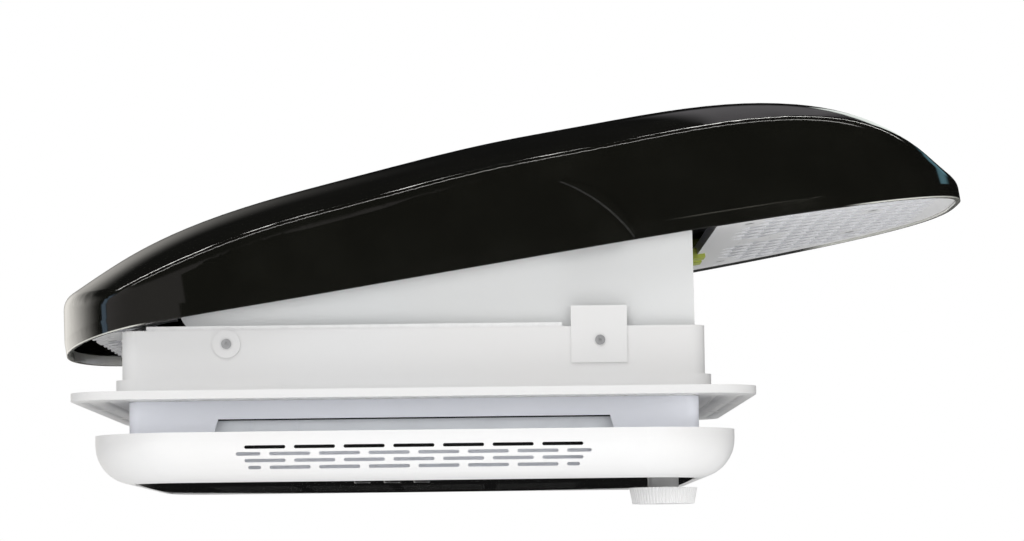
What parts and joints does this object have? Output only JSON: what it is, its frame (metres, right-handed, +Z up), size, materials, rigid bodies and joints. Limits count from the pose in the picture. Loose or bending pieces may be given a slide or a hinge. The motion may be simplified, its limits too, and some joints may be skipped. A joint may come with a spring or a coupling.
{
  "type": "caravan roof vent",
  "caption": "Square caravan roof vent with a long domed black lid hinged at one end, a white base with side wings, an inner fan, and an interior trim with side slots and a crank knob.",
  "frame": {"origin": "middle of the roof opening, in the plane of the flange's underside", "axes": "+X towards the raised end of the lid, +Y across the vent, +Z up out of the roof"},
  "size_m": [0.5789, 0.412, 0.2588],
  "materials": {
    "white_plastic": "semi-gloss white moulded plastic",
    "neck_plastic": "pale blue-grey moulded plastic",
    "black_gloss": "polished black plastic",
    "key_plastic": "satin black plastic",
    "fan_plastic": "satin black plastic",
    "steel": "zinc plated steel",
    "motor_metal": "black coated steel can",
    "magnet_metal": "dark ferrite",
    "bush_brass": "sintered bronze",
    "gear_plastic": "natural acetal",
    "hinge_plastic": "glass-filled nylon",
    "seal_rubber": "grey foam rubber",
    "buffer_rubber": "yellow-green soft plastic",
    "net_mesh": "black coated net",
    "circuit_board": "green laminate",
    "switch_plastic": "black switch bodies"
  },
  "bodies": {
    "base": {"base_frame": "white_plastic", "lid_seal": "seal_rubber", "hinge_pins": "steel", "side_screws": "steel", "neck_frame": "neck_plastic", "cable_grommet": "seal_rubber", "fan_shroud": "neck_plastic", "shroud_screws": "steel", "motor_bracket": "neck_plastic", "bracket_screws": "steel", "motor_case": "motor_metal", "motor_cap": "motor_metal", "motor_bushes": "bush_brass", "motor_magnets": "magnet_metal", "motor_screws": "steel", "screen_frame": "neck_plastic", "insect_screen": "net_mesh", "trim_bezel": "white_plastic", "trim_panel": "black_gloss", "trim_screws": "steel", "control_board": "circuit_board", "key_switches": "switch_plastic", "board_screws": "steel", "shaft_posts": "gear_plastic", "gearbox_case": "neck_plastic", "gearbox_cover": "neck_plastic"},
    "lid": {"lid_shell": "black_gloss", "lid_liner": "white_plastic", "liner_screws": "steel", "near_wing": "white_plastic", "far_wing": "white_plastic", "wing_screws": "steel", "near_rack": "gear_plastic", "far_rack": "gear_plastic", "rack_screws": "steel", "lid_hinges": "hinge_plastic", "hinge_screws": "steel", "lid_buffers": "buffer_rubber"},
    "fan": {"fan_blades": "fan_plastic", "motor_shaft": "steel", "fan_nut": "steel"},
    "lift_shaft": {"cross_shaft": "steel", "rack_pinions": "gear_plastic", "worm_wheel": "gear_plastic"},
    "crank": {"knob": "white_plastic", "knob_shaft": "steel", "worm": "gear_plastic"},
    "fan_key": {"key_fan": "key_plastic"},
    "slower_key": {"key_slower": "key_plastic"},
    "faster_key": {"key_faster": "key_plastic"}
  },
  "joints": [
    {"name": "lid_hinge", "type": "hinge", "parent": "base", "child": "lid", "pos_m": [-0.172, 0, 0.0438], "axis": [0, -1, 0], "range_deg": [-9.2, 0]},
    {"name": "fan_spin", "type": "hinge", "parent": "base", "child": "fan", "pos_m": [-0.014, 0, 0], "axis": [0, 0, 1], "continuous": true},
    {"name": "lift_turn", "type": "hinge", "parent": "base", "child": "lift_shaft", "pos_m": [0.137, 0, 0.026], "axis": [0, -1, 0], "range_deg": [-326.59, 1]},
    {"name": "crank_turn", "type": "hinge", "parent": "base", "child": "crank", "pos_m": [0.152, -0.12, 0], "axis": [0, 0, -1], "range_deg": [-3919.08, 12]},
    {"name": "fan_key_press", "type": "slide", "parent": "base", "child": "fan_key", "axis": [0, 0, 1], "range_m": [0, 0.0008], "stiffness_N_per_m": 900, "springref_m": -0.0003},
    {"name": "slower_key_press", "type": "slide", "parent": "base", "child": "slower_key", "axis": [0, 0, 1], "range_m": [0, 0.0008], "stiffness_N_per_m": 900, "springref_m": -0.0003},
    {"name": "faster_key_press", "type": "slide", "parent": "base", "child": "faster_key", "axis": [0, 0, 1], "range_m": [0, 0.0008], "stiffness_N_per_m": 900, "springref_m": -0.0003}
  ],
  "couplings": [
    {"joint": "lift_turn", "follows": "lid_hinge", "ratio": 35.39},
    {"joint": "crank_turn", "follows": "lid_hinge", "ratio": 424.68}
  ]
}
